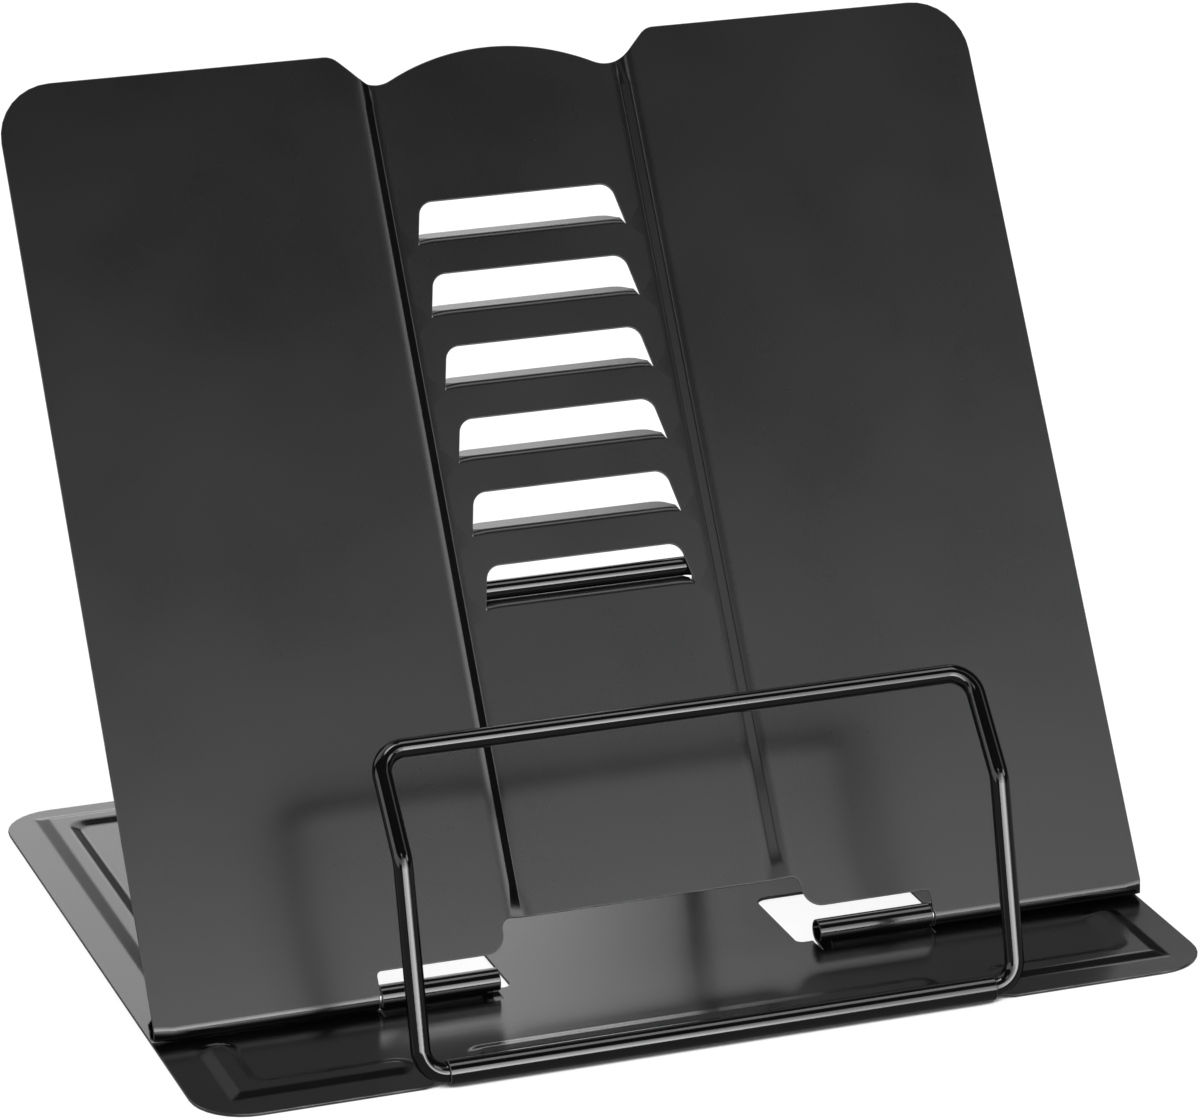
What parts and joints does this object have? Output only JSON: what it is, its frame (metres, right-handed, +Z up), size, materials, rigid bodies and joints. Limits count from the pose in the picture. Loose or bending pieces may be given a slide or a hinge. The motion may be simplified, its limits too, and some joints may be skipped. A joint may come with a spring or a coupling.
{
  "type": "book stand",
  "caption": "Folding sheet metal book stand: a reclined slotted back panel hinged to a flat ribbed base, with a wire support leg behind and a wire page holder in front.",
  "frame": {"origin": "middle of the hinge line, brought straight down to the underside of the base plate", "axes": "+X to the right seen by the reader, +Y back away from the reader, +Z up"},
  "size_m": [0.205, 0.163, 0.1643],
  "materials": {
    "coated_base": "gloss",
    "coated_panel": "gloss",
    "coated_wire": "gloss",
    "pin_wire": "satin"
  },
  "bodies": {
    "base": {"base_plate": "coated_base", "hinge_pin_left": "pin_wire", "hinge_pin_right": "pin_wire"},
    "panel": {"back_panel": "coated_panel"},
    "holder": {"page_holder": "coated_wire"},
    "leg": {"support_leg": "coated_wire"}
  },
  "joints": [
    {"name": "panel_tilt", "type": "hinge", "parent": "base", "child": "panel", "pos_m": [0, 0, 0.00295], "axis": [1, 0, 0], "range_deg": [0, 31.4]},
    {"name": "support_swing", "type": "hinge", "parent": "base", "child": "leg", "pos_m": [0, 0.095, 0.0024], "axis": [-1, 0, 0], "range_deg": [0, 126]},
    {"name": "page_holder_flip", "type": "hinge", "parent": "base", "child": "holder", "pos_m": [0, -0.0366, 0.0024], "axis": [1, 0, 0], "range_deg": [-5, 103]}
  ],
  "couplings": [
    {"joint": "support_swing", "follows": "panel_tilt", "ratio": 4}
  ]
}
